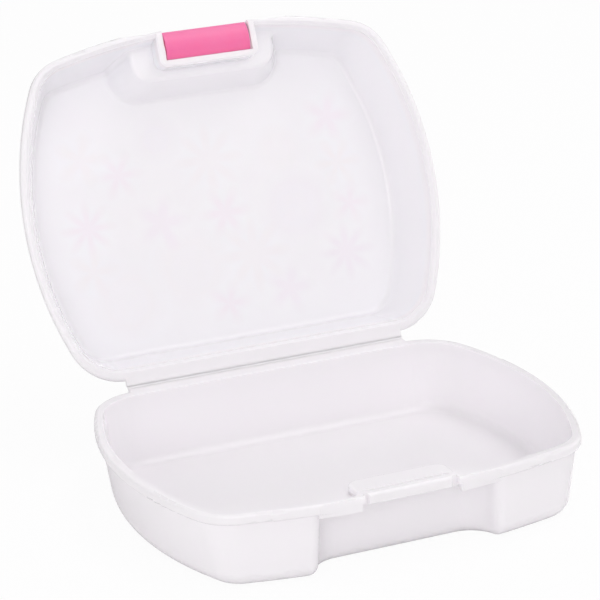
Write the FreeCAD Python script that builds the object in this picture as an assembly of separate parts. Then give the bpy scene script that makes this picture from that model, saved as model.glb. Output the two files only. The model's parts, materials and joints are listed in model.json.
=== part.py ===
import FreeCAD, Part
import math
import os

V = FreeCAD.Vector

# A one-shot moulded box: a tray and a lid of nearly the same size, joined along the rear by a
# living hinge and held shut by a swinging clip at the front. Millimetres. +X runs along the hinge,
# -Y is the front, +Z is up. The origin is the centre of the tray's outline, on its underside.

# --- driving dimensions -----------------------------------------------------------------------
HALF_WIDTH = 85.0          # rim, at its widest
HALF_DEPTH = 66.4          # rim, centre to the rear edge and to the front edge
WIDEST_Y = 4.8             # where the bowed sides are widest
SIDE_RADIUS = 129.3        # bow of the two sides
FRONT_RADIUS = 248.0       # bow of the front
REAR_CORNER = 21.4
FRONT_CORNER = 18.0
LEAST_CORNER = 6.0

TRAY_HEIGHT = 29.0
LID_HEIGHT = 26.4
RIM_GAP = 0.2              # between the two rims when the lid is shut
BAND_HEIGHT = 4.0          # the flange that runs round each rim
WALL = 1.8                 # tray
FLOOR = 2.4
LID_WALL = 1.35            # lighter than the tray, so that the box stands with its lid open
LAND = 3.2                 # width of the rim's flat top
TRAY_REAR_LAND = 4.8
LID_REAR_LAND = 4.3
RIM_ROUND = 1.2

TRAY_SIDE_TAPER = 4.0      # how far each wall leans in from the rim to the underside
TRAY_FRONT_TAPER = 1.6
TRAY_REAR_TAPER = 4.6
TRAY_BOTTOM_RADIUS = 6.5
TRAY_FLOOR_RADIUS = 4.0

LID_SIDE_TAPER = 7.7       # the same for the lid, from its rim to its panel
LID_FRONT_TAPER = 6.3
LID_REAR_TAPER = 5.2
LID_TOP_RADIUS = 3.8
LID_PANEL_RADIUS = 2.5
LEAD_IN = 1.2              # bevel round the inner edge of the lid's rim, this wide and deep

SETBACK = 1.3              # the middle of the front rim stands back by this much
SETBACK_HALF = 34.0
SETBACK_RAMP = 2.5

HINGE_OFFSET = 2.8         # hinge axis, behind the rim's rear edge
HINGE_HALF_LENGTH = 57.2
LEAF_THICKNESS = 1.5
FILM_THICKNESS = 0.4
LEAF_END = 0.6             # leaf's free end, from the hinge axis
OPEN_ANGLE = 112.5         # how far the lid stands open

RECESS_HALF = 32.5         # finger recess in the tray's front
RECESS_DEPTH = 15.2        # its back wall, behind the front edge
RECESS_CORNER = 10.5
RECESS_EDGE = 4.0
RECESS_TOP = 5.5           # its ceiling, below the rim
RECESS_TAPER = 1.2         # how far its walls lean into the tray from the rim to the underside

SHELF_HALF = 18.6          # flat shelf above the finger recess
SHELF_INNER = 17.6         # shelf's inner edge, behind the front edge
SHELF_THICKNESS = 2.6
SHELF_CORNER = 4.0         # its two inner corners
SHELF_EDGE = 0.8
SHELF_FLARE = 3.0          # where it runs out into the rim
SHELF_FLARE_END = 6.6
SHELF_SINK = 0.35          # its top, below the rim
GROOVE_WIDTH = 1.1         # a groove parts it from the strike bar
GROOVE_DEPTH = 0.8
STRIKE_HALF = 15.9         # the bar that the clip hooks under
STRIKE_FRONT = 3.2
STRIKE_REAR = 7.2
STRIKE_HEIGHT = 4.2
STRIKE_ROUND = 1.1
HOOK_SPACE_HALF = 17.65    # the clip's hook passes in front of the bar through this space
POST_FRONT = 4.4           # posts that hold the bar's two ends
POST_HEIGHT = 4.1

NOTCH_HALF = 17.9          # slot in the lid's front that holds the clip
NOTCH_REAR = 13.65
FRAME_WALL = 2.6
FRAME_CORNER = 3.5
FRAME_EDGE = 0.9
POCKET_DEPTH = 8.5         # shelf round the slot, from the lid's rim
POCKET_EDGE = 2.0
SCOOP_HALF = 29.6          # scoop above that shelf, on the lid's outside
SCOOP_REAR = 19.7
SCOOP_CORNER = 8.0
SCOOP_FLARE = 6.5          # how much wider it is at the lid's panel
SCOOP_REAR_FLARE = 6.0
SCOOP_CORNER_FLARE = 4.0
SCOOP_EDGE = 2.5
SCOOP_PANEL_RADIUS = 2.0

PIVOT_SETBACK = 4.4        # clip's pivot, behind the front edge
PIVOT_HEIGHT = 3.4         # and above the lid's rim
PIVOT_RADIUS = 1.2
PIVOT_CLEARANCE = 0.05
CLIP_HALF = 17.25
CLIP_HUB = 2.1
CLIP_HUB_FRONT = 1.5       # where its outer face and its inner face leave the hub
CLIP_HUB_BACK = 1.1
CLIP_BULGE = 3.5           # its outer face, in front of the pivot
CLIP_LENGTH = 8.95         # from the pivot to its free edge
CLIP_EDGE_FRONT = 2.2
CLIP_EDGE_BACK = 0.7
CLIP_HOOK_TOP = 8.0        # the hook's upper face, below the pivot when the clip hangs
CLIP_HOOK_TIP = 0.2
CLIP_HOOK_HEIGHT = 0.5
CLIP_HOOK_ROOT = 1.5
CLIP_INNER = 1.75          # its inner face, in front of the pivot
CLIP_INNER_DOWN = 4.6
CLIP_SWING = 90.0          # from hanging shut to lying in the slot

LABEL_THICKNESS = 0.2
LABEL_MARGIN = 7.5

HINGE_Y = HALF_DEPTH + HINGE_OFFSET
HINGE_Z = TRAY_HEIGHT + RIM_GAP / 2
FRONT_Y = -HALF_DEPTH
BEYOND = 20.0              # how far cutting shapes reach past the part
FLARE_OVERLAP = 1.0        # and how far the shelf's block reaches into the rim


# --- plan outlines ----------------------------------------------------------------------------
def arc_between(start, end, centre, radius, z):
    """Short arc from start to end about a centre, all given in plan."""
    middle = ((start[0] + end[0]) / 2 - centre[0], (start[1] + end[1]) / 2 - centre[1])
    reach = radius / math.hypot(*middle)
    top = V(centre[0] + middle[0] * reach, centre[1] + middle[1] * reach, z)
    return Part.Arc(V(start[0], start[1], z), top, V(end[0], end[1], z)).toShape()


def along(centre, through, radius):
    """Point on a circle, on the line from its centre through another point."""
    dx, dy = through[0] - centre[0], through[1] - centre[1]
    length = math.hypot(dx, dy)
    return (centre[0] + dx / length * radius, centre[1] + dy / length * radius)


def outline(side, front, rear, z):
    """Closed rim-shaped wire, brought in from the rim by a distance on each side."""
    side_radius = SIDE_RADIUS - side
    front_radius = FRONT_RADIUS - front
    side_centre = (HALF_WIDTH - SIDE_RADIUS, WIDEST_Y)
    front_centre = (0.0, FRONT_Y + FRONT_RADIUS)
    rear_y = HALF_DEPTH - rear
    rear_corner = max(REAR_CORNER - side, LEAST_CORNER)
    front_corner = max(FRONT_CORNER - side, LEAST_CORNER)

    rear_centre_y = rear_y - rear_corner
    reach = math.sqrt((side_radius - rear_corner) ** 2 - (rear_centre_y - WIDEST_Y) ** 2)
    rear_centre = (side_centre[0] + reach, rear_centre_y)

    # the front corner's circle touches the side circle and the front circle from inside
    to_side = side_radius - front_corner
    to_front = front_radius - front_corner
    dx = front_centre[0] - side_centre[0]
    dy = front_centre[1] - side_centre[1]
    gap = math.hypot(dx, dy)
    along_gap = (to_side ** 2 - to_front ** 2 + gap ** 2) / (2 * gap)
    across_gap = math.sqrt(to_side ** 2 - along_gap ** 2)
    corner_centre = (side_centre[0] + (along_gap * dx + across_gap * dy) / gap,
                     side_centre[1] + (along_gap * dy - across_gap * dx) / gap)

    rear_start = (rear_centre[0], rear_y)
    side_start = along(side_centre, rear_centre, side_radius)
    side_end = along(side_centre, corner_centre, side_radius)
    front_start = along(front_centre, corner_centre, front_radius)

    def mirrored(point):
        return (-point[0], point[1])

    edges = [
        arc_between(rear_start, side_start, rear_centre, rear_corner, z),
        arc_between(side_start, side_end, side_centre, side_radius, z),
        arc_between(side_end, front_start, corner_centre, front_corner, z),
        arc_between(front_start, mirrored(front_start), front_centre, front_radius, z),
        arc_between(mirrored(front_start), mirrored(side_end), mirrored(corner_centre), front_corner, z),
        arc_between(mirrored(side_end), mirrored(side_start), mirrored(side_centre), side_radius, z),
        arc_between(mirrored(side_start), mirrored(rear_start), mirrored(rear_centre), rear_corner, z),
        Part.LineSegment(V(-rear_start[0], rear_y, z), V(rear_start[0], rear_y, z)).toShape(),
    ]
    return Part.Wire(edges)


def bay(half, rear_y, corner, z):
    """Open-fronted rectangle with its two rear corners rounded, closed well in front of the part."""
    front_y = FRONT_Y - BEYOND
    turn = corner * (1 - math.sqrt(0.5))
    edges = [
        Part.LineSegment(V(half, front_y, z), V(half, rear_y - corner, z)).toShape(),
        Part.Arc(V(half, rear_y - corner, z), V(half - turn, rear_y - turn, z),
                 V(half - corner, rear_y, z)).toShape(),
        Part.LineSegment(V(half - corner, rear_y, z), V(corner - half, rear_y, z)).toShape(),
        Part.Arc(V(corner - half, rear_y, z), V(turn - half, rear_y - turn, z),
                 V(-half, rear_y - corner, z)).toShape(),
        Part.LineSegment(V(-half, rear_y - corner, z), V(-half, front_y, z)).toShape(),
        Part.LineSegment(V(-half, front_y, z), V(half, front_y, z)).toShape(),
    ]
    return Part.Wire(edges)


# --- helpers ----------------------------------------------------------------------------------
def between(lower, upper):
    """Solid with straight sides between two wires that have the same number of edges."""
    return Part.makeLoft([lower, upper], True, True)


def prism(wire, height):
    return Part.Face(wire).extrude(V(0, 0, height))


def block(x_half, y_low, y_high, z_low, z_high):
    return Part.makeBox(2 * x_half, y_high - y_low, z_high - z_low, V(-x_half, y_low, z_low))


def edges_at(shape, z, tolerance=0.01):
    """Edges that lie flat at one height."""
    found = []
    for edge in shape.Edges:
        box = edge.BoundBox
        if abs(box.ZMin - z) < tolerance and abs(box.ZMax - z) < tolerance:
            found.append(edge)
    return found


def upright_edges(shape, y, tolerance=0.01):
    """Edges that stand upright at one distance along Y."""
    found = []
    for edge in shape.Edges:
        box = edge.BoundBox
        if abs(box.YMin - y) < tolerance and box.XLength < tolerance and box.YLength < tolerance:
            found.append(edge)
    return found


def rim_band(z_low):
    """Flange round a rim, with rounded outer edges, its front set back in the middle."""
    def ring(inset):
        whole = prism(outline(inset, inset, inset, z_low), BAND_HEIGHT)
        return whole.makeFillet(RIM_ROUND, edges_at(whole, z_low) + edges_at(whole, z_low + BAND_HEIGHT))

    outer = HALF_DEPTH + BEYOND
    ramp = SETBACK_HALF + SETBACK_RAMP
    low = z_low - 1
    corners = [V(-ramp, -outer, low), V(ramp, -outer, low), V(ramp, FRONT_Y, low),
               V(SETBACK_HALF, FRONT_Y + 2 * SETBACK, low),
               V(-SETBACK_HALF, FRONT_Y + 2 * SETBACK, low), V(-ramp, FRONT_Y, low),
               V(-ramp, -outer, low)]
    cutter = prism(Part.makePolygon(corners), BAND_HEIGHT + 2)
    return ring(0).cut(cutter.cut(ring(SETBACK)))


def turned_about_hinge(shape, angle):
    turned = shape.copy()
    turned.rotate(V(0, HINGE_Y, HINGE_Z), V(1, 0, 0), -angle)
    return turned


# --- tray -------------------------------------------------------------------------------------
def tray_section(depth, inward):
    """Outline of the tray's wall at a depth below the rim, brought in by the given distance."""
    share = depth / TRAY_HEIGHT
    side = LAND - WALL + TRAY_SIDE_TAPER * share + inward
    front = LAND - WALL + TRAY_FRONT_TAPER * share + inward
    rear = TRAY_REAR_LAND - WALL + TRAY_REAR_TAPER * share + inward
    return outline(side, front, rear, TRAY_HEIGHT - depth)


def recess_space(inward, z_low, z_high):
    """Finger recess, leaning with the wall; its walls are moved into the tray by a distance."""
    rear_y = FRONT_Y + RECESS_DEPTH + inward
    half = RECESS_HALF + inward
    corner = RECESS_CORNER + inward

    def section(z):
        lean = RECESS_TAPER * (TRAY_HEIGHT - z) / TRAY_HEIGHT
        return bay(half + lean, rear_y + lean, corner, z)

    return between(section(z_low), section(z_high))


def shelf_block(z_low, z_high):
    """Block that carries the shelf, from the shelf's inner edge to the rim."""
    half = SHELF_HALF
    inner_y = FRONT_Y + SHELF_INNER
    outer_y = FRONT_Y + LAND - FLARE_OVERLAP
    flared_y = FRONT_Y + SHELF_FLARE_END
    wire = Part.makePolygon([
        V(-half - SHELF_FLARE, outer_y, z_low),
        V(half + SHELF_FLARE, outer_y, z_low),
        V(half, flared_y, z_low),
        V(half, inner_y, z_low),
        V(-half, inner_y, z_low),
        V(-half, flared_y, z_low),
        V(-half - SHELF_FLARE, outer_y, z_low),
    ])
    shelf = prism(wire, z_high - z_low)
    return shelf.makeFillet(SHELF_CORNER, upright_edges(shelf, inner_y))


def meeting_edges(shape, first, second, z_low, z_high):
    """Edges of a shape that lie on the skins of both of the others, between two heights."""
    found = []
    first_skin = Part.makeCompound(first.Faces)
    second_skin = Part.makeCompound(second.Faces)
    for edge in shape.Edges:
        middle = Part.Vertex(edge.valueAt((edge.FirstParameter + edge.LastParameter) / 2))
        if not z_low < middle.Z < z_high:
            continue
        if middle.distToShape(first_skin)[0] < 0.01 and middle.distToShape(second_skin)[0] < 0.01:
            found.append(edge)
    return found


def base_tray():
    top = TRAY_HEIGHT
    ceiling = top - RECESS_TOP
    wall = between(tray_section(top, 0), tray_section(0, 0))
    whole = wall.makeFillet(TRAY_BOTTOM_RADIUS, edges_at(wall, 0))
    recess = recess_space(0, -1, top + 1)
    wall = whole.cut(recess)
    wall = wall.makeFillet(RECESS_EDGE, meeting_edges(wall, whole, recess, -1, top - 0.1))

    lip = prism(outline(SETBACK, SETBACK, TRAY_REAR_LAND, ceiling), RECESS_TOP - RIM_ROUND)
    lip = lip.common(block(SETBACK_HALF, FRONT_Y, FRONT_Y + RECESS_DEPTH + WALL, 0, top))
    outer = wall.fuse(rim_band(top - BAND_HEIGHT)).fuse(lip)

    cavity = between(tray_section(top - FLOOR, WALL), tray_section(0, WALL))
    cavity = cavity.cut(recess_space(WALL, 0, ceiling + WALL))
    cavity = cavity.cut(shelf_block(ceiling, top + 1))
    cavity = cavity.makeFillet(TRAY_FLOOR_RADIUS, edges_at(cavity, FLOOR))
    tray = outer.cut(cavity)

    strike_y = FRONT_Y + STRIKE_REAR
    post_y = FRONT_Y + POST_FRONT
    shelf_top = top - SHELF_SINK
    inner_y = FRONT_Y + SHELF_INNER + 1
    post = block(SHELF_HALF + 1, post_y, strike_y, top - POST_HEIGHT, top)
    under_shelf = block(SHELF_HALF, FRONT_Y - 1, FRONT_Y + RECESS_DEPTH, ceiling - 1,
                        top - SHELF_THICKNESS)
    spaces = [
        under_shelf.cut(post),
        block(HOOK_SPACE_HALF, FRONT_Y - 1, post_y, ceiling - 1, top + 1),
        block(STRIKE_HALF, post_y - 1, strike_y, ceiling - 1, top + 1),
        block(SHELF_HALF + 1, strike_y, inner_y, shelf_top, top + 1),
        block(STRIKE_HALF, strike_y, strike_y + GROOVE_WIDTH, top - GROOVE_DEPTH, top + 1),
    ]
    for space in spaces:
        tray = tray.cut(space)
    groove_y = strike_y + GROOVE_WIDTH
    brim = [edge for edge in edges_at(tray, shelf_top) if edge.BoundBox.YMax > groove_y + 0.1]
    return tray.makeFillet(SHELF_EDGE, brim)


def strike_bar():
    """Rounded bar along the front of the shelf; the clip hooks under it."""
    y_low = FRONT_Y + STRIKE_FRONT
    y_high = FRONT_Y + STRIKE_REAR
    bar = block(STRIKE_HALF, y_low, y_high, TRAY_HEIGHT - STRIKE_HEIGHT, TRAY_HEIGHT)
    front = [edge for edge in edges_at(bar, TRAY_HEIGHT) if edge.BoundBox.YMax < y_low + 0.01]
    under = [edge for edge in edges_at(bar, TRAY_HEIGHT - STRIKE_HEIGHT)
             if edge.BoundBox.YMax < y_low + 0.01]
    rear = [edge for edge in edges_at(bar, TRAY_HEIGHT) if edge.BoundBox.YMin > y_high - 0.01]
    return bar.makeFillet(STRIKE_ROUND, front + under + rear + upright_edges(bar, y_low))


# --- hinge ------------------------------------------------------------------------------------
def hinge_leaf(z_low, band):
    """Stiff strip that runs on from a rim's rear edge, flush with the rim's flat top."""
    y_low = HALF_DEPTH - RIM_ROUND
    leaf = block(HINGE_HALF_LENGTH, y_low, HINGE_Y - LEAF_END, z_low, z_low + LEAF_THICKNESS)
    return leaf.cut(band)


def hinge_leaf_base():
    return hinge_leaf(TRAY_HEIGHT - LEAF_THICKNESS, rim_band(TRAY_HEIGHT - BAND_HEIGHT))


def hinge_leaf_lid():
    z_low = TRAY_HEIGHT + RIM_GAP
    return turned_about_hinge(hinge_leaf(z_low, rim_band(z_low)), OPEN_ANGLE)


def hinge_film():
    """Thin web between the two leaves: one arc that runs straight on into each leaf's end."""
    bend = math.radians(180 - OPEN_ANGLE)
    below = RIM_GAP / 2 + FILM_THICKNESS / 2
    # distance from a leaf's end to where the two leaves' mid-planes cross
    reach = LEAF_END + below * math.tan(bend / 2)
    radius = reach / math.tan(bend / 2)

    def point(distance, turn):
        y = HINGE_Y - LEAF_END + distance * math.sin(turn)
        z = HINGE_Z - below + radius - distance * math.cos(turn)
        return V(-HINGE_HALF_LENGTH, y, z)

    inner = radius - FILM_THICKNESS / 2
    outer = radius + FILM_THICKNESS / 2
    edges = [
        Part.Arc(point(inner, 0), point(inner, bend / 2), point(inner, bend)).toShape(),
        Part.LineSegment(point(inner, bend), point(outer, bend)).toShape(),
        Part.Arc(point(outer, bend), point(outer, bend / 2), point(outer, 0)).toShape(),
        Part.LineSegment(point(outer, 0), point(inner, 0)).toShape(),
    ]
    return Part.Face(Part.Wire(edges)).extrude(V(2 * HINGE_HALF_LENGTH, 0, 0))


# --- lid, drawn shut and then turned open -----------------------------------------------------
def lid_section(height, inward):
    """Outline of the lid's wall at a height above its rim, brought in by the given distance."""
    share = height / LID_HEIGHT
    side = LAND - LID_WALL + LID_SIDE_TAPER * share + inward
    front = LAND - LID_WALL + LID_FRONT_TAPER * share + inward
    rear = LID_REAR_LAND - LID_WALL + LID_REAR_TAPER * share + inward
    return outline(side, front, rear, height)


def scoop_space(outward, low, high):
    """Scoop in the lid's front, between two heights; its walls are moved out by a distance."""
    def section(height):
        share = (height - POCKET_DEPTH) / (LID_HEIGHT - POCKET_DEPTH)
        half = SCOOP_HALF + SCOOP_FLARE * share + outward
        rear_y = FRONT_Y + SCOOP_REAR + SCOOP_REAR_FLARE * share + outward
        return bay(half, rear_y, SCOOP_CORNER + SCOOP_CORNER_FLARE * share + outward, height)

    return between(section(low), section(high))


def lid_in_place(shape):
    """Lift a shape drawn above a rim at zero to the shut lid's height, and turn it open."""
    lifted = shape.copy()
    lifted.translate(V(0, 0, TRAY_HEIGHT + RIM_GAP))
    return turned_about_hinge(lifted, OPEN_ANGLE)


def lid_shell():
    panel = LID_HEIGHT - LID_WALL
    shelf = POCKET_DEPTH
    shelf_outside = shelf + LID_WALL
    wall = between(lid_section(0, 0), lid_section(LID_HEIGHT, 0))
    whole = wall.makeFillet(LID_TOP_RADIUS, edges_at(wall, LID_HEIGHT))
    scoop = scoop_space(-LID_WALL, shelf_outside, LID_HEIGHT + 2)
    wall = whole.cut(scoop)
    brink = meeting_edges(wall, whole, scoop, shelf_outside + 0.1, LID_HEIGHT + 1)
    wall = wall.makeFillet(SCOOP_EDGE, brink)

    outer = wall.fuse(rim_band(0))

    hollow = between(lid_section(0, LID_WALL), lid_section(panel, LID_WALL))
    hollow = hollow.makeFillet(LID_PANEL_RADIUS, edges_at(hollow, panel))
    under_scoop = scoop_space(0, shelf, LID_HEIGHT)
    frame_y = FRONT_Y + NOTCH_REAR + FRAME_WALL
    frame = block(NOTCH_HALF + FRAME_WALL, FRONT_Y - 1, frame_y, -1, shelf + 1)
    frame = frame.makeFillet(FRAME_CORNER, upright_edges(frame, frame_y))
    cavity = hollow.cut(under_scoop)
    wall_y = FRONT_Y + LAND + LID_FRONT_TAPER
    ledge = [edge for edge in edges_at(cavity, shelf) if edge.BoundBox.YMax > wall_y]
    cavity = cavity.makeFillet(POCKET_EDGE, ledge).cut(frame)
    foot = meeting_edges(cavity, hollow, under_scoop, panel - 0.1, LID_HEIGHT)
    cavity = cavity.makeFillet(SCOOP_PANEL_RADIUS, foot)
    notch = block(NOTCH_HALF, FRONT_Y - 1, FRONT_Y + NOTCH_REAR, -1, shelf_outside + 1)
    bevel = between(outline(LAND - LEAD_IN, LAND - LEAD_IN, LID_REAR_LAND - LEAD_IN, 0),
                    outline(LAND, LAND, LID_REAR_LAND, LEAD_IN))
    shell = outer.cut(cavity).cut(bevel.cut(frame)).cut(notch)
    return shell.makeFillet(FRAME_EDGE, meeting_edges(shell, frame, frame, -0.1, 0.1))


def lid_label():
    """Printed film moulded onto the lid's outside, with a cut-out round the scoop."""
    margin = LID_TOP_RADIUS + LABEL_MARGIN
    inset = LAND - LID_WALL + margin
    side = inset + LID_SIDE_TAPER
    front = inset + LID_FRONT_TAPER
    rear = LID_REAR_LAND - LID_WALL + margin + LID_REAR_TAPER
    film = prism(outline(side, front, rear, LID_HEIGHT), LABEL_THICKNESS)
    return film.cut(scoop_space(LABEL_MARGIN, LID_HEIGHT - 1, LID_HEIGHT + 1))


# --- clip, drawn hanging shut from its pivot and then swung inward into the slot ---------------
def latch_pivot_bar():
    centre = V(-NOTCH_HALF, FRONT_Y + PIVOT_SETBACK, PIVOT_HEIGHT)
    return Part.makeCylinder(PIVOT_RADIUS, 2 * NOTCH_HALF, centre, V(1, 0, 0))


def latch_clip():
    """Curved shell on a full-width hub, with a hook along its free edge."""
    def point(outward, down):
        return V(-CLIP_HALF, -outward, -down)

    front_up = math.sqrt(CLIP_HUB ** 2 - CLIP_HUB_FRONT ** 2)
    back_down = math.sqrt(CLIP_HUB ** 2 - CLIP_HUB_BACK ** 2)
    hub_top = point(CLIP_HUB_FRONT, -front_up)
    free_front = point(CLIP_EDGE_FRONT, CLIP_LENGTH)
    free_back = point(CLIP_EDGE_BACK, CLIP_LENGTH)
    tip_low = point(CLIP_HOOK_TIP, CLIP_HOOK_TOP + CLIP_HOOK_HEIGHT)
    tip_high = point(CLIP_HOOK_TIP, CLIP_HOOK_TOP)
    hook_root = point(CLIP_HOOK_ROOT, CLIP_HOOK_TOP)
    hub_back = point(CLIP_HUB_BACK, back_down)
    edges = [
        Part.Arc(hub_top, point(CLIP_BULGE, CLIP_BULGE), free_front).toShape(),
        Part.LineSegment(free_front, free_back).toShape(),
        Part.LineSegment(free_back, tip_low).toShape(),
        Part.LineSegment(tip_low, tip_high).toShape(),
        Part.LineSegment(tip_high, hook_root).toShape(),
        Part.Arc(hook_root, point(CLIP_INNER, CLIP_INNER_DOWN), hub_back).toShape(),
        Part.Arc(hub_back, point(-CLIP_HUB, 0), hub_top).toShape(),
    ]
    clip = Part.Face(Part.Wire(edges)).extrude(V(2 * CLIP_HALF, 0, 0))
    bore_radius = PIVOT_RADIUS + PIVOT_CLEARANCE
    clip = clip.cut(Part.makeCylinder(bore_radius, 2 * CLIP_HALF, V(-CLIP_HALF, 0, 0), V(1, 0, 0)))
    clip.rotate(V(0, 0, 0), V(1, 0, 0), CLIP_SWING)
    clip.translate(V(0, FRONT_Y + PIVOT_SETBACK, PIVOT_HEIGHT))
    return clip


nodes = {
    "base_tray": base_tray(),
    "strike_bar": strike_bar(),
    "hinge_leaf_base": hinge_leaf_base(),
    "hinge_film": hinge_film(),
    "hinge_leaf_lid": hinge_leaf_lid(),
    "lid_shell": lid_in_place(lid_shell()),
    "lid_label": lid_in_place(lid_label()),
    "latch_pivot_bar": lid_in_place(latch_pivot_bar()),
    "latch_clip": lid_in_place(latch_clip()),
}

os.makedirs("parts", exist_ok=True)
for name, shape in nodes.items():
    shape.exportStep("parts/" + name + ".step")
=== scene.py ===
import json
import math

import bmesh
import bpy
from mathutils import Matrix, Vector


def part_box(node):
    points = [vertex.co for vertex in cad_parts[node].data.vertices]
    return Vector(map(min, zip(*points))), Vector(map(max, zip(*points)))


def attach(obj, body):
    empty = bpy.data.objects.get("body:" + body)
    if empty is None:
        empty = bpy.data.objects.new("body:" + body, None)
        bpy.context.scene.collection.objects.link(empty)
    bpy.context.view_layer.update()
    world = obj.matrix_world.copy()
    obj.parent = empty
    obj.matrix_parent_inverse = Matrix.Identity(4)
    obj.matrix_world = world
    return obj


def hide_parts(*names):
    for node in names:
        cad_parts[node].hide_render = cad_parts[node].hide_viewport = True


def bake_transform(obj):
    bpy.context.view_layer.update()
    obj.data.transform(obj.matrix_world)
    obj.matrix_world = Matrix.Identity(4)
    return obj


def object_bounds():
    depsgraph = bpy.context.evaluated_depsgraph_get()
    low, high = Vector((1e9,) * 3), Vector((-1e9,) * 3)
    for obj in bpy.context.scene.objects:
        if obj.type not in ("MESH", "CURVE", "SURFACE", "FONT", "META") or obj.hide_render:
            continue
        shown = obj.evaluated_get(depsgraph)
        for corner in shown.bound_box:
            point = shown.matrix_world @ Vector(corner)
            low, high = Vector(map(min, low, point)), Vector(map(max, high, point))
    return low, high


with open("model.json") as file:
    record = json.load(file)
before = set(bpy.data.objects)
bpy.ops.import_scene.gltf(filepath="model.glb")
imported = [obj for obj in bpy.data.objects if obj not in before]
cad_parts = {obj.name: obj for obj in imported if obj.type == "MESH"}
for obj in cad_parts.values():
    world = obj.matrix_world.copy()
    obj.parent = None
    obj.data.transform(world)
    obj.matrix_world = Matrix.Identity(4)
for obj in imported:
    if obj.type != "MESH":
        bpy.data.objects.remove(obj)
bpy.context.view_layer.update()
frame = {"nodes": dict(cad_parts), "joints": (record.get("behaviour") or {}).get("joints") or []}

MM = 0.001
nodes = frame["nodes"]
joints = {joint["name"]: joint for joint in frame["joints"]}

# The lid's own directions as it stands open: from the hinge along the panel, and out of the panel.
HINGE = Vector(joints["lid_hinge"]["pos_m"])
OPEN = math.radians(-joints["lid_hinge"]["range_deg"][0])
LID_ALONG = Vector((0.0, -math.cos(OPEN), math.sin(OPEN)))
LID_OUT = Vector((0.0, math.sin(OPEN), math.cos(OPEN)))


# --- camera -----------------------------------------------------------------------------------
CAMERA_AZIMUTH = math.radians(-21.627)
CAMERA_ELEVATION = math.radians(19.453)
CAMERA_ROLL = math.radians(-2.449)
CAMERA_DISTANCE = 916.4 * MM
CAMERA_TARGET = Vector((0.0, 32.33, 66.37)) * MM
CAMERA_LENS = 148.76


def make_camera():
    az, el = CAMERA_AZIMUTH, CAMERA_ELEVATION
    back = Vector((math.sin(az) * math.cos(el), -math.cos(az) * math.cos(el), math.sin(el)))
    right = Vector((0, 0, 1)).cross(back).normalized()
    up = back.cross(right)
    across = right * math.cos(CAMERA_ROLL) + up * math.sin(CAMERA_ROLL)
    upward = up * math.cos(CAMERA_ROLL) - right * math.sin(CAMERA_ROLL)
    data = bpy.data.cameras.new("camera")
    data.lens = CAMERA_LENS
    data.sensor_width = 36.0
    data.clip_start, data.clip_end = 0.01, 20.0
    camera = bpy.data.objects.new("camera", data)
    turn = Matrix((across, upward, back)).transposed().to_4x4()
    camera.matrix_world = Matrix.Translation(CAMERA_TARGET + back * CAMERA_DISTANCE) @ turn
    bpy.context.scene.collection.objects.link(camera)
    bpy.context.scene.camera = camera


# --- node helpers -----------------------------------------------------------------------------
def feed(tree, socket, value):
    """Connect a socket, or set a plain value on it."""
    if isinstance(value, bpy.types.NodeSocket):
        tree.links.new(value, socket)
    else:
        socket.default_value = value


def maths(tree, operation, *values, clamp=False):
    node = tree.nodes.new("ShaderNodeMath")
    node.operation = operation
    node.use_clamp = clamp
    for socket, value in zip(node.inputs, values):
        feed(tree, socket, value)
    return node.outputs[0]


def vectors(tree, operation, *values):
    node = tree.nodes.new("ShaderNodeVectorMath")
    node.operation = operation
    for socket, value in zip(node.inputs, values):
        feed(tree, socket, value)
    return node.outputs["Value" if operation in ("LENGTH", "DOT_PRODUCT") else "Vector"]


def mixed(tree, factor, below, above):
    """Colour that goes from one to the other as the factor goes from 0 to 1."""
    node = tree.nodes.new("ShaderNodeMix")
    node.data_type = "RGBA"
    feed(tree, node.inputs["Factor"], factor)
    feed(tree, node.inputs["A"], below)
    feed(tree, node.inputs["B"], above)
    return [out for out in node.outputs if out.type == "RGBA"][0]


def opaque(colour):
    return (*colour, 1.0)


# --- floor and light --------------------------------------------------------------------------
FLOOR_HALF = 3.0
FLOOR_DROP = 0.02 * MM     # keeps the floor's face apart from the tray's underside
FLOOR_WHITE = 0.9
FLOOR_ROUGHNESS = 0.9
FLOOR_GLOW = 1.0           # what the camera sees of the floor is mostly this even white
FLOOR_SHADE = 0.06         # and this share of its real shading
SKY = 0.43
LIGHT_TINT = (1.0, 0.971, 0.998)
LIGHTS_AIM = Vector((0.0, 0.03, 0.04))
# each light: direction from the box, distance, width and height in metres, radiance
LIGHTS = {
    "key_light": ((-0.55, -0.70, 0.45), 1.4, (1.2, 1.0), 0.38),
    "front_light": ((-0.30, -0.88, 0.36), 1.6, (1.0, 0.8), 2.06),
    "low_strip": ((0.35, -0.72, 0.62), 1.4, (0.9, 0.3), 1.3),
    "top_light": ((0.35, -0.10, 0.93), 1.2, (1.2, 0.45), 2.24),
    "left_light": ((-0.95, 0.0, 0.35), 1.4, (1.0, 1.0), 0.94),
    "right_light": ((0.95, 0.0, 0.35), 1.4, (1.0, 1.0), 0.84),
    "back_light": ((0.0, 0.8, 0.6), 1.4, (1.4, 1.0), 0.63),
}


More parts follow.
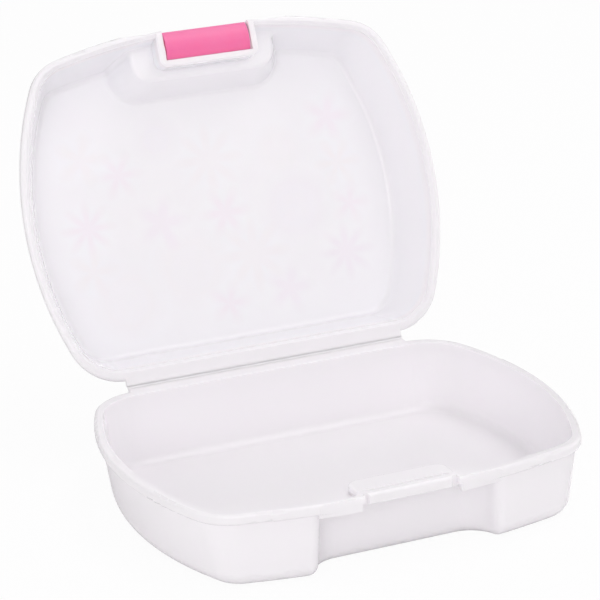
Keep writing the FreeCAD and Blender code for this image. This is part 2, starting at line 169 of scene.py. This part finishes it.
def make_floor():
    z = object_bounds()[0].z - FLOOR_DROP
    half = FLOOR_HALF
    mesh = bpy.data.meshes.new("floor")
    corners = [(-half, -half, z), (half, -half, z), (half, half, z), (-half, half, z)]
    mesh.from_pydata(corners, [], [(0, 1, 2, 3)])
    floor = bpy.data.objects.new("floor", mesh)
    bpy.context.scene.collection.objects.link(floor)
    mat = bpy.data.materials.new("floor")
    mat.use_nodes = True
    tree = mat.node_tree
    shader = tree.nodes["Principled BSDF"]
    shader.inputs["Base Color"].default_value = (FLOOR_WHITE, FLOOR_WHITE, FLOOR_WHITE, 1)
    shader.inputs["Roughness"].default_value = FLOOR_ROUGHNESS
    shader.inputs["Specular IOR Level"].default_value = 0.0
    glow = tree.nodes.new("ShaderNodeEmission")
    glow.inputs["Color"].default_value = (1, 1, 1, 1)
    glow.inputs["Strength"].default_value = FLOOR_GLOW
    rays = tree.nodes.new("ShaderNodeLightPath")
    share = maths(tree, "MULTIPLY", rays.outputs["Is Camera Ray"], 1.0 - FLOOR_SHADE)
    mix = tree.nodes.new("ShaderNodeMixShader")
    tree.links.new(share, mix.inputs[0])
    tree.links.new(shader.outputs[0], mix.inputs[1])
    tree.links.new(glow.outputs[0], mix.inputs[2])
    tree.links.new(mix.outputs[0], tree.nodes["Material Output"].inputs["Surface"])
    mesh.materials.append(mat)


def softbox(name, direction, distance, size, radiance):
    """Rectangular light that faces the box's middle; its power follows from how bright it looks."""
    place = LIGHTS_AIM + Vector(direction).normalized() * distance
    data = bpy.data.lights.new(name, "AREA")
    data.shape = "RECTANGLE"
    data.size, data.size_y = size
    data.energy = radiance * math.pi * size[0] * size[1]
    data.color = LIGHT_TINT
    light = bpy.data.objects.new(name, data)
    light.location = place
    light.rotation_mode = "QUATERNION"
    light.rotation_quaternion = (LIGHTS_AIM - place).to_track_quat("-Z", "Y")
    bpy.context.scene.collection.objects.link(light)


def make_light():
    world = bpy.data.worlds.new("world")
    bpy.context.scene.world = world
    world.use_nodes = True
    sky = world.node_tree.nodes["Background"]
    sky.inputs["Color"].default_value = (*LIGHT_TINT, 1)
    sky.inputs["Strength"].default_value = SKY
    for name, (direction, distance, size, radiance) in LIGHTS.items():
        softbox(name, direction, distance, size, radiance)
    bpy.context.scene.view_settings.view_transform = "Standard"


# --- the print on the lid's outside -----------------------------------------------------------
ROSE = (0.90, 0.22, 0.42)
ORCHID = (0.72, 0.28, 0.62)
LILAC = (0.50, 0.42, 0.74)
APRICOT = (0.96, 0.50, 0.22)
PEACH = (0.96, 0.55, 0.50)
CREAM = (0.98, 0.90, 0.80)
PRINT_GROUND = (0.93, 0.80, 0.87)
# parts of a motif, as shares of its radius
PETAL_DEPTH = 0.22
FLOWER_MIDDLE = 0.28
BUTTON_RING = 0.72
BUTTON_RING_HALF = 0.05
BUTTON_HOLE_OFFSET = 0.2
BUTTON_HOLE = 0.09
# each motif: sideways and along the lid from its hinge in mm, radius, petals (none: a button), colour
MOTIFS = [
    (53, 94, 9, 5, ROSE), (54, 75, 8, 6, APRICOT), (56, 58, 7, 5, ROSE), (51, 39, 10, 8, ORCHID),
    (-52, 91, 9, 5, APRICOT), (-38, 83, 8, 6, ROSE), (-54, 64, 9, 8, ROSE), (-55, 47, 8, 5, APRICOT),
    (-43, 33, 13, 0, PEACH), (-15, 42, 14, 0, PEACH), (12, 44, 13, 8, PEACH), (-24, 62, 10, 5, ORCHID),
    (3, 62, 9, 6, ROSE), (33, 60, 14, 0, LILAC), (24, 28, 9, 5, ORCHID), (30, 84, 8, 0, PEACH),
    (0, 84, 12, 8, PEACH), (-20, 95, 8, 0, LILAC), (-2, 26, 7, 5, ROSE),
]


def motif_group():
    """Stamps one flower or button over a colour. Its edge is as soft as it is told to be."""
    tree = bpy.data.node_groups.new("motif", "ShaderNodeTree")
    for label, kind in (("Place", "NodeSocketVector"), ("Under", "NodeSocketColor"),
                        ("Centre", "NodeSocketVector"), ("Radius", "NodeSocketFloat"),
                        ("Petals", "NodeSocketFloat"), ("Softness", "NodeSocketFloat"),
                        ("Strength", "NodeSocketFloat"), ("Colour", "NodeSocketColor")):
        tree.interface.new_socket(label, in_out="INPUT", socket_type=kind)
    tree.interface.new_socket("Colour", in_out="OUTPUT", socket_type="NodeSocketColor")
    given = tree.nodes.new("NodeGroupInput").outputs
    result = tree.nodes.new("NodeGroupOutput").inputs

    from_centre = vectors(tree, "SUBTRACT", given["Place"], given["Centre"])
    reach = vectors(tree, "LENGTH", from_centre)
    split = tree.nodes.new("ShaderNodeSeparateXYZ")
    tree.links.new(from_centre, split.inputs[0])
    angle = maths(tree, "ARCTAN2", split.outputs["Y"], split.outputs["X"])
    wave = maths(tree, "COSINE", maths(tree, "MULTIPLY", angle, given["Petals"]))
    has_petals = maths(tree, "MINIMUM", given["Petals"], 1.0)
    depth = maths(tree, "MULTIPLY", has_petals, PETAL_DEPTH)
    brim = maths(tree, "MULTIPLY_ADD", maths(tree, "MULTIPLY", wave, depth), given["Radius"],
                 maths(tree, "MULTIPLY", given["Radius"], maths(tree, "SUBTRACT", 1.0, depth)))

    def inside(edge, distance):
        margin = maths(tree, "SUBTRACT", edge, distance)
        return maths(tree, "MULTIPLY_ADD", maths(tree, "DIVIDE", margin, given["Softness"]), 1.0, 0.5,
                     clamp=True)

    whole = maths(tree, "MULTIPLY", inside(brim, reach), given["Strength"])
    colour = mixed(tree, whole, given["Under"], given["Colour"])

    # a flower has a pale middle; a button has a pale ring and four holes
    middle = inside(maths(tree, "MULTIPLY", given["Radius"], FLOWER_MIDDLE), reach)
    ring_radius = maths(tree, "MULTIPLY", given["Radius"], BUTTON_RING)
    ring_gap = maths(tree, "ABSOLUTE", maths(tree, "SUBTRACT", reach, ring_radius))
    ring = inside(maths(tree, "MULTIPLY", given["Radius"], BUTTON_RING_HALF), ring_gap)
    folded = vectors(tree, "ABSOLUTE", from_centre)
    corner = tree.nodes.new("ShaderNodeCombineXYZ")
    offset = maths(tree, "MULTIPLY", given["Radius"], BUTTON_HOLE_OFFSET)
    tree.links.new(offset, corner.inputs["X"])
    tree.links.new(offset, corner.inputs["Y"])
    to_hole = vectors(tree, "LENGTH", vectors(tree, "SUBTRACT", folded, corner.outputs[0]))
    holes = inside(maths(tree, "MULTIPLY", given["Radius"], BUTTON_HOLE), to_hole)
    button = maths(tree, "MAXIMUM", ring, holes)
    no_petals = maths(tree, "SUBTRACT", 1.0, has_petals)
    mark = maths(tree, "ADD", maths(tree, "MULTIPLY", middle, has_petals),
                 maths(tree, "MULTIPLY", button, no_petals), clamp=True)
    mark = maths(tree, "MULTIPLY", mark, given["Strength"])
    tree.links.new(mixed(tree, mark, colour, opaque(CREAM)), result["Colour"])
    return tree


def lid_place(tree):
    """Position on the lid: sideways, along it from the hinge, and out from the rim, in metres."""
    point = tree.nodes.new("ShaderNodeTexCoord").outputs["Object"]
    from_hinge = vectors(tree, "SUBTRACT", point, HINGE)
    place = tree.nodes.new("ShaderNodeCombineXYZ")
    tree.links.new(vectors(tree, "DOT_PRODUCT", from_hinge, (1, 0, 0)), place.inputs["X"])
    tree.links.new(vectors(tree, "DOT_PRODUCT", from_hinge, LID_ALONG), place.inputs["Y"])
    out = vectors(tree, "DOT_PRODUCT", from_hinge, LID_OUT)
    return place.outputs[0], out


def printed(tree, group, place, ground, softness, strength):
    """The whole print over a ground colour."""
    colour = ground
    for x, along, radius, petals, tint in MOTIFS:
        stamp = tree.nodes.new("ShaderNodeGroup")
        stamp.node_tree = group
        feed(tree, stamp.inputs["Place"], place)
        feed(tree, stamp.inputs["Under"], colour)
        stamp.inputs["Centre"].default_value = Vector((x, along, 0)) * MM
        stamp.inputs["Radius"].default_value = radius * MM
        stamp.inputs["Petals"].default_value = petals
        stamp.inputs["Softness"].default_value = softness
        stamp.inputs["Strength"].default_value = strength
        stamp.inputs["Colour"].default_value = opaque(tint)
        colour = stamp.outputs["Colour"]
    return colour


# --- materials --------------------------------------------------------------------------------
TRAY_TINT = (0.98, 0.938, 0.967)
# the lid rim's own pink, also painted a little lighter as painted light on the rim land
RIM_PINK_AND_PAINTED_LIGHT = (0.99, 0.943, 0.968)
PANEL_TINT = (0.95, 0.953, 0.997)
CLIP_TINT = (0.97, 0.17, 0.405)
CLIP_PALER = 0.06          # how far the clip's paler patches go towards white
PLASTIC_IOR = 1.49
SCATTER = 1.3 * MM
MILKY_BLEED = (1.0, 0.97, 1.0)
CLIP_SCATTERED = 0.35      # the clip is less milky than the mouldings
CLIP_BLEED = (1.0, 0.35, 0.5)
POLISH = 0.16              # roughness of the mouldings, of the film and of the clip
FILM_POLISH = 0.2
CLIP_POLISH = 0.3
POLISH_SPREAD = 0.06
GLOSS_PATCH = 28 * MM
TRAY_CLOUD = 45 * MM
TRAY_CLOUD_SHARE = 0.5
CLIP_CLOUD = 6 * MM
GRAIN = 0.6 * MM
GRAIN_HEIGHT = 0.02 * MM
GRAIN_BUMP = 0.25
FILM_BUMP = 0.1
CLIP_BUMP = 0.3
# depth inside the lid, out from its hinge line: where the rim's pink and painted light fade, and where
# the panel is
RIM_FADE, RIM_FADE_OVER = 2.5 * MM, 3 * MM
PANEL_FROM, PANEL_OVER = 22 * MM, 2 * MM
GHOST_SOFTNESS, GHOST_STRENGTH = 7 * MM, 0.09
PRINT_SOFTNESS, PRINT_STRENGTH = 0.15 * MM, 0.95
RIBBON_SCALE = 22.0
RIBBON_WAVE = 3.0
RIBBON_EDGE = 0.72
RIBBON_STRENGTH = 0.35


def plastic(name):
    mat = bpy.data.materials.new(name)
    mat.use_nodes = True
    tree = mat.node_tree
    shader = tree.nodes["Principled BSDF"]
    shader.inputs["IOR"].default_value = PLASTIC_IOR
    return mat, tree, shader


def surface_detail(tree, shader, roughness, bump):
    """Slight unevenness of a moulded face: broad changes in gloss and a fine grain."""
    point = tree.nodes.new("ShaderNodeTexCoord").outputs["Object"]
    broad = tree.nodes.new("ShaderNodeTexNoise")
    broad.inputs["Scale"].default_value = 1 / GLOSS_PATCH
    broad.inputs["Detail"].default_value = 3.0
    tree.links.new(point, broad.inputs["Vector"])
    low = roughness - POLISH_SPREAD / 2
    gloss = maths(tree, "MULTIPLY_ADD", broad.outputs["Fac"], POLISH_SPREAD, low)
    tree.links.new(gloss, shader.inputs["Roughness"])
    fine = tree.nodes.new("ShaderNodeTexNoise")
    fine.inputs["Scale"].default_value = 1 / GRAIN
    fine.inputs["Detail"].default_value = 2.0
    tree.links.new(point, fine.inputs["Vector"])
    relief = tree.nodes.new("ShaderNodeBump")
    relief.inputs["Strength"].default_value = bump
    relief.inputs["Distance"].default_value = GRAIN_HEIGHT
    tree.links.new(fine.outputs["Fac"], relief.inputs["Height"])
    tree.links.new(relief.outputs[0], shader.inputs["Normal"])


def make_milky(shader):
    shader.inputs["Subsurface Weight"].default_value = 1.0
    shader.inputs["Subsurface Radius"].default_value = MILKY_BLEED
    shader.inputs["Subsurface Scale"].default_value = SCATTER


def tray_plastic():
    mat, tree, shader = plastic("milky_tray_plastic")
    make_milky(shader)
    cloud = tree.nodes.new("ShaderNodeTexNoise")
    cloud.inputs["Scale"].default_value = 1 / TRAY_CLOUD
    tree.links.new(tree.nodes.new("ShaderNodeTexCoord").outputs["Object"], cloud.inputs["Vector"])
    share = maths(tree, "MULTIPLY", cloud.outputs["Fac"], TRAY_CLOUD_SHARE)
    colour = mixed(tree, share, opaque(TRAY_TINT), opaque(PANEL_TINT))
    tree.links.new(colour, shader.inputs["Base Color"])
    surface_detail(tree, shader, POLISH, GRAIN_BUMP)
    return mat


def lid_plastic(group):
    """The lid is pinker where it is thick, at its rim, and there it is also painted lighter to stand
    in for light on the rim land; its thin panel lets the print show faintly.
    """
    mat, tree, shader = plastic("milky_lid_plastic")
    make_milky(shader)
    place, out = lid_place(tree)
    # near the rim plane the lid takes its own pink plus a painted lightening that stands in for light
    # on the rim land
    depth = maths(tree, "DIVIDE", maths(tree, "SUBTRACT", out, RIM_FADE), RIM_FADE_OVER, clamp=True)
    ground = mixed(tree, depth, opaque(RIM_PINK_AND_PAINTED_LIGHT), opaque(PANEL_TINT))
    ghost = printed(tree, group, place, ground, GHOST_SOFTNESS, GHOST_STRENGTH)
    on_panel = maths(tree, "DIVIDE", maths(tree, "SUBTRACT", out, PANEL_FROM), PANEL_OVER, clamp=True)
    tree.links.new(mixed(tree, on_panel, ground, ghost), shader.inputs["Base Color"])
    surface_detail(tree, shader, POLISH, GRAIN_BUMP)
    return mat


def film_plastic(group):
    mat, tree, shader = plastic("printed_film")
    place = lid_place(tree)[0]
    ribbon = tree.nodes.new("ShaderNodeTexWave")
    ribbon.wave_type = "BANDS"
    ribbon.bands_direction = "Y"
    ribbon.inputs["Scale"].default_value = RIBBON_SCALE
    ribbon.inputs["Distortion"].default_value = RIBBON_WAVE
    ribbon.inputs["Detail"].default_value = 0.0
    tree.links.new(place, ribbon.inputs["Vector"])
    stripe = maths(tree, "GREATER_THAN", ribbon.outputs["Fac"], RIBBON_EDGE)
    share = maths(tree, "MULTIPLY", stripe, RIBBON_STRENGTH)
    ground = mixed(tree, share, opaque(PRINT_GROUND), opaque(LILAC))
    colour = printed(tree, group, place, ground, PRINT_SOFTNESS, PRINT_STRENGTH)
    tree.links.new(colour, shader.inputs["Base Color"])
    surface_detail(tree, shader, FILM_POLISH, FILM_BUMP)
    return mat


def clip_plastic():
    mat, tree, shader = plastic("clip_plastic")
    shader.inputs["Subsurface Weight"].default_value = CLIP_SCATTERED
    shader.inputs["Subsurface Radius"].default_value = CLIP_BLEED
    shader.inputs["Subsurface Scale"].default_value = SCATTER
    cloud = tree.nodes.new("ShaderNodeTexNoise")
    cloud.inputs["Scale"].default_value = 1 / CLIP_CLOUD
    tree.links.new(tree.nodes.new("ShaderNodeTexCoord").outputs["Object"], cloud.inputs["Vector"])
    paler = tuple((1 - CLIP_PALER) * channel + CLIP_PALER for channel in CLIP_TINT)
    colour = mixed(tree, cloud.outputs["Fac"], opaque(CLIP_TINT), opaque(paler))
    tree.links.new(colour, shader.inputs["Base Color"])
    surface_detail(tree, shader, CLIP_POLISH, CLIP_BUMP)
    return mat


# --- pieces -----------------------------------------------------------------------------------
WELD = 0.001 * MM
LEAF_BITE = 0.25 * MM      # how far a hinge leaf is pushed into the rim
LEAF_FREE = 1.0 * MM       # the leaf's free end, which stays where it is
LEAF_FACE = 0.003 * MM     # and so does its parting face
SHARP = 32                 # degrees between faces that meet in a visible edge
WEB_TURNS = 14             # strips along the bend
WEB_SPANS = 2
WEB_LEAD = 0.5 * MM        # how far the web runs on into each leaf
WEB_THICK = 0.4 * MM
WEB_LEAD_THIN = 0.5        # its thickness there, as a share
FILM_LIFT = 0.05 * MM
CLIP_EDGE = 0.25 * MM


def weld(mesh):
    """Join the vertices that the file holds once per face."""
    form = bmesh.new()
    form.from_mesh(mesh)
    bmesh.ops.remove_doubles(form, verts=form.verts, dist=WELD)
    form.to_mesh(mesh)
    form.free()


def seat(mesh, toward, parting):
    """Push the side of a leaf that meets the rim a little way into it, so no crack is left between."""
    reach = [v.co.dot(toward) for v in mesh.vertices]
    level = [v.co.dot(parting) for v in mesh.vertices]
    free_end = min(reach) + LEAF_FREE
    face = max(level) - LEAF_FACE
    for vertex, along, up in zip(mesh.vertices, reach, level):
        if along > free_end and up < face:
            vertex.co += toward * LEAF_BITE


def united(name, members, body, toward, parting):
    """One seamless moulding out of CAD nodes that touch face to face."""
    bodies = []
    for member in members:
        piece = bpy.data.objects.new(name + "_" + member, nodes[member].data.copy())
        bpy.context.scene.collection.objects.link(piece)
        bodies.append(piece)
        weld(piece.data)
        if member.startswith("hinge_leaf"):
            seat(piece.data, toward, parting)
    whole = bodies[0]
    for other in bodies[1:]:
        join = whole.modifiers.new("join", "BOOLEAN")
        join.operation = "UNION"
        join.solver = "EXACT"
        join.object = other
    bpy.context.view_layer.update()
    mesh = bpy.data.meshes.new_from_object(whole.evaluated_get(bpy.context.evaluated_depsgraph_get()))
    for piece in bodies:
        bpy.data.objects.remove(piece)
    mesh.name = name
    moulding = bpy.data.objects.new(name, mesh)
    bpy.context.scene.collection.objects.link(moulding)
    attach(moulding, body)
    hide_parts(*members)
    return moulding


def smooth_by_angle(mesh, degrees):
    limit = math.radians(degrees)
    form = bmesh.new()
    form.from_mesh(mesh)
    for face in form.faces:
        face.smooth = True
    for edge in form.edges:
        edge.smooth = edge.is_manifold and edge.calc_face_angle(0.0) < limit
    form.to_mesh(mesh)
    form.free()


def hinge_web():
    """The thin film between the two leaves, built as one arc of strips, bent to the open lid's angle.
    """
    lo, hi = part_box("hinge_film")
    half = (hi.x - lo.x) / 2
    turns, spans = WEB_TURNS, WEB_SPANS
    bend = math.pi - OPEN
    base_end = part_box("hinge_leaf_base")[1].y
    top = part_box("hinge_leaf_base")[1].z
    offset = top - WEB_THICK / 2
    reach = (HINGE.y - base_end) + (HINGE.z - offset) * math.tan(bend / 2)
    radius = reach / math.tan(bend / 2)
    mesh = bpy.data.meshes.new("hinge_web")
    rows = []
    for i in range(-1, turns + 2):
        turn = min(max(i / turns, 0.0), 1.0) * bend
        lead = WEB_LEAD * (i if i < 0 else max(i - turns, 0))
        sunk = WEB_LEAD_THIN if lead else 1.0
        for side in (-WEB_THICK / 2, WEB_THICK / 2):
            distance = radius + side * sunk
            y = base_end + distance * math.sin(turn) + lead * math.cos(turn)
            z = offset + radius - distance * math.cos(turn) + lead * math.sin(turn)
            rows.append((y, z))
    points = []
    for j in range(spans + 1):
        x = -half + 2 * half * j / spans
        points += [(x, y, z) for y, z in rows]
    per = len(rows)
    faces = []
    steps = per // 2 - 1
    for j in range(spans):
        a, b = j * per, (j + 1) * per
        for i in range(steps):
            faces.append((a + 2 * i, a + 2 * i + 2, b + 2 * i + 2, b + 2 * i))
            faces.append((a + 2 * i + 1, b + 2 * i + 1, b + 2 * i + 3, a + 2 * i + 3))
        faces.append((a, b, b + 1, a + 1))
        faces.append((a + per - 2, a + per - 1, b + per - 1, b + per - 2))
    for i in range(steps):
        faces.append((2 * i, 2 * i + 1, 2 * i + 3, 2 * i + 2))
        last = spans * per
        faces.append((last + 2 * i, last + 2 * i + 2, last + 2 * i + 3, last + 2 * i + 1))
    mesh.from_pydata(points, [], faces)
    web = bpy.data.objects.new("hinge_web", mesh)
    bpy.context.scene.collection.objects.link(web)
    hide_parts("hinge_film")
    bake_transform(web)
    return web


def printed_film():
    """The moulded-in label, lifted a hair off the panel so that the two faces don't coincide."""
    mesh = nodes["lid_label"].data.copy()
    mesh.name = "printed_film"
    heights = [(vertex.co - HINGE).dot(LID_OUT) for vertex in mesh.vertices]
    low = min(heights)
    for vertex, height in zip(mesh.vertices, heights):
        if height < low + FILM_LIFT:
            vertex.co += LID_OUT * FILM_LIFT
    weld(mesh)
    smooth_by_angle(mesh, SHARP)
    film = bpy.data.objects.new("printed_film", mesh)
    bpy.context.scene.collection.objects.link(film)
    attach(film, "lid")
    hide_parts("lid_label")
    return film


def soften_edges(piece, width):
    bevel = piece.modifiers.new("edge", "BEVEL")
    bevel.width = width
    bevel.segments = 3
    bevel.limit_method = "ANGLE"
    bevel.angle_limit = math.radians(35)
    bevel.harden_normals = True


def finish_with(piece, mat):
    piece.data.materials.clear()
    piece.data.materials.append(mat)


def make_pieces():
    group = motif_group()
    tray_mat, lid_mat = tray_plastic(), lid_plastic(group)
    tray = united("tray_moulding", ["base_tray", "strike_bar", "hinge_leaf_base"], "base",
                  Vector((0, -1, 0)), Vector((0, 0, 1)))
    lid = united("lid_moulding", ["lid_shell", "hinge_leaf_lid"], "lid", LID_ALONG, -LID_OUT)
    for moulding, mat in ((tray, tray_mat), (lid, lid_mat)):
        smooth_by_angle(moulding.data, SHARP)
        even = moulding.modifiers.new("even", "WEIGHTED_NORMAL")
        even.keep_sharp = True
        finish_with(moulding, mat)
    finish_with(hinge_web(), tray_mat)
    film = printed_film()
    finish_with(film, film_plastic(group))
    film.visible_shadow = False
    film.visible_diffuse = False
    finish_with(nodes["latch_pivot_bar"], lid_mat)
    clip = nodes["latch_clip"]
    finish_with(clip, clip_plastic())
    soften_edges(clip, CLIP_EDGE)
    # the nodes that the pieces above replace
    for name in ("base_tray", "strike_bar", "hinge_leaf_base", "hinge_film", "lid_shell",
                 "hinge_leaf_lid", "lid_label"):
        finish_with(nodes[name], tray_mat)


make_camera()
make_floor()
make_light()
make_pieces()
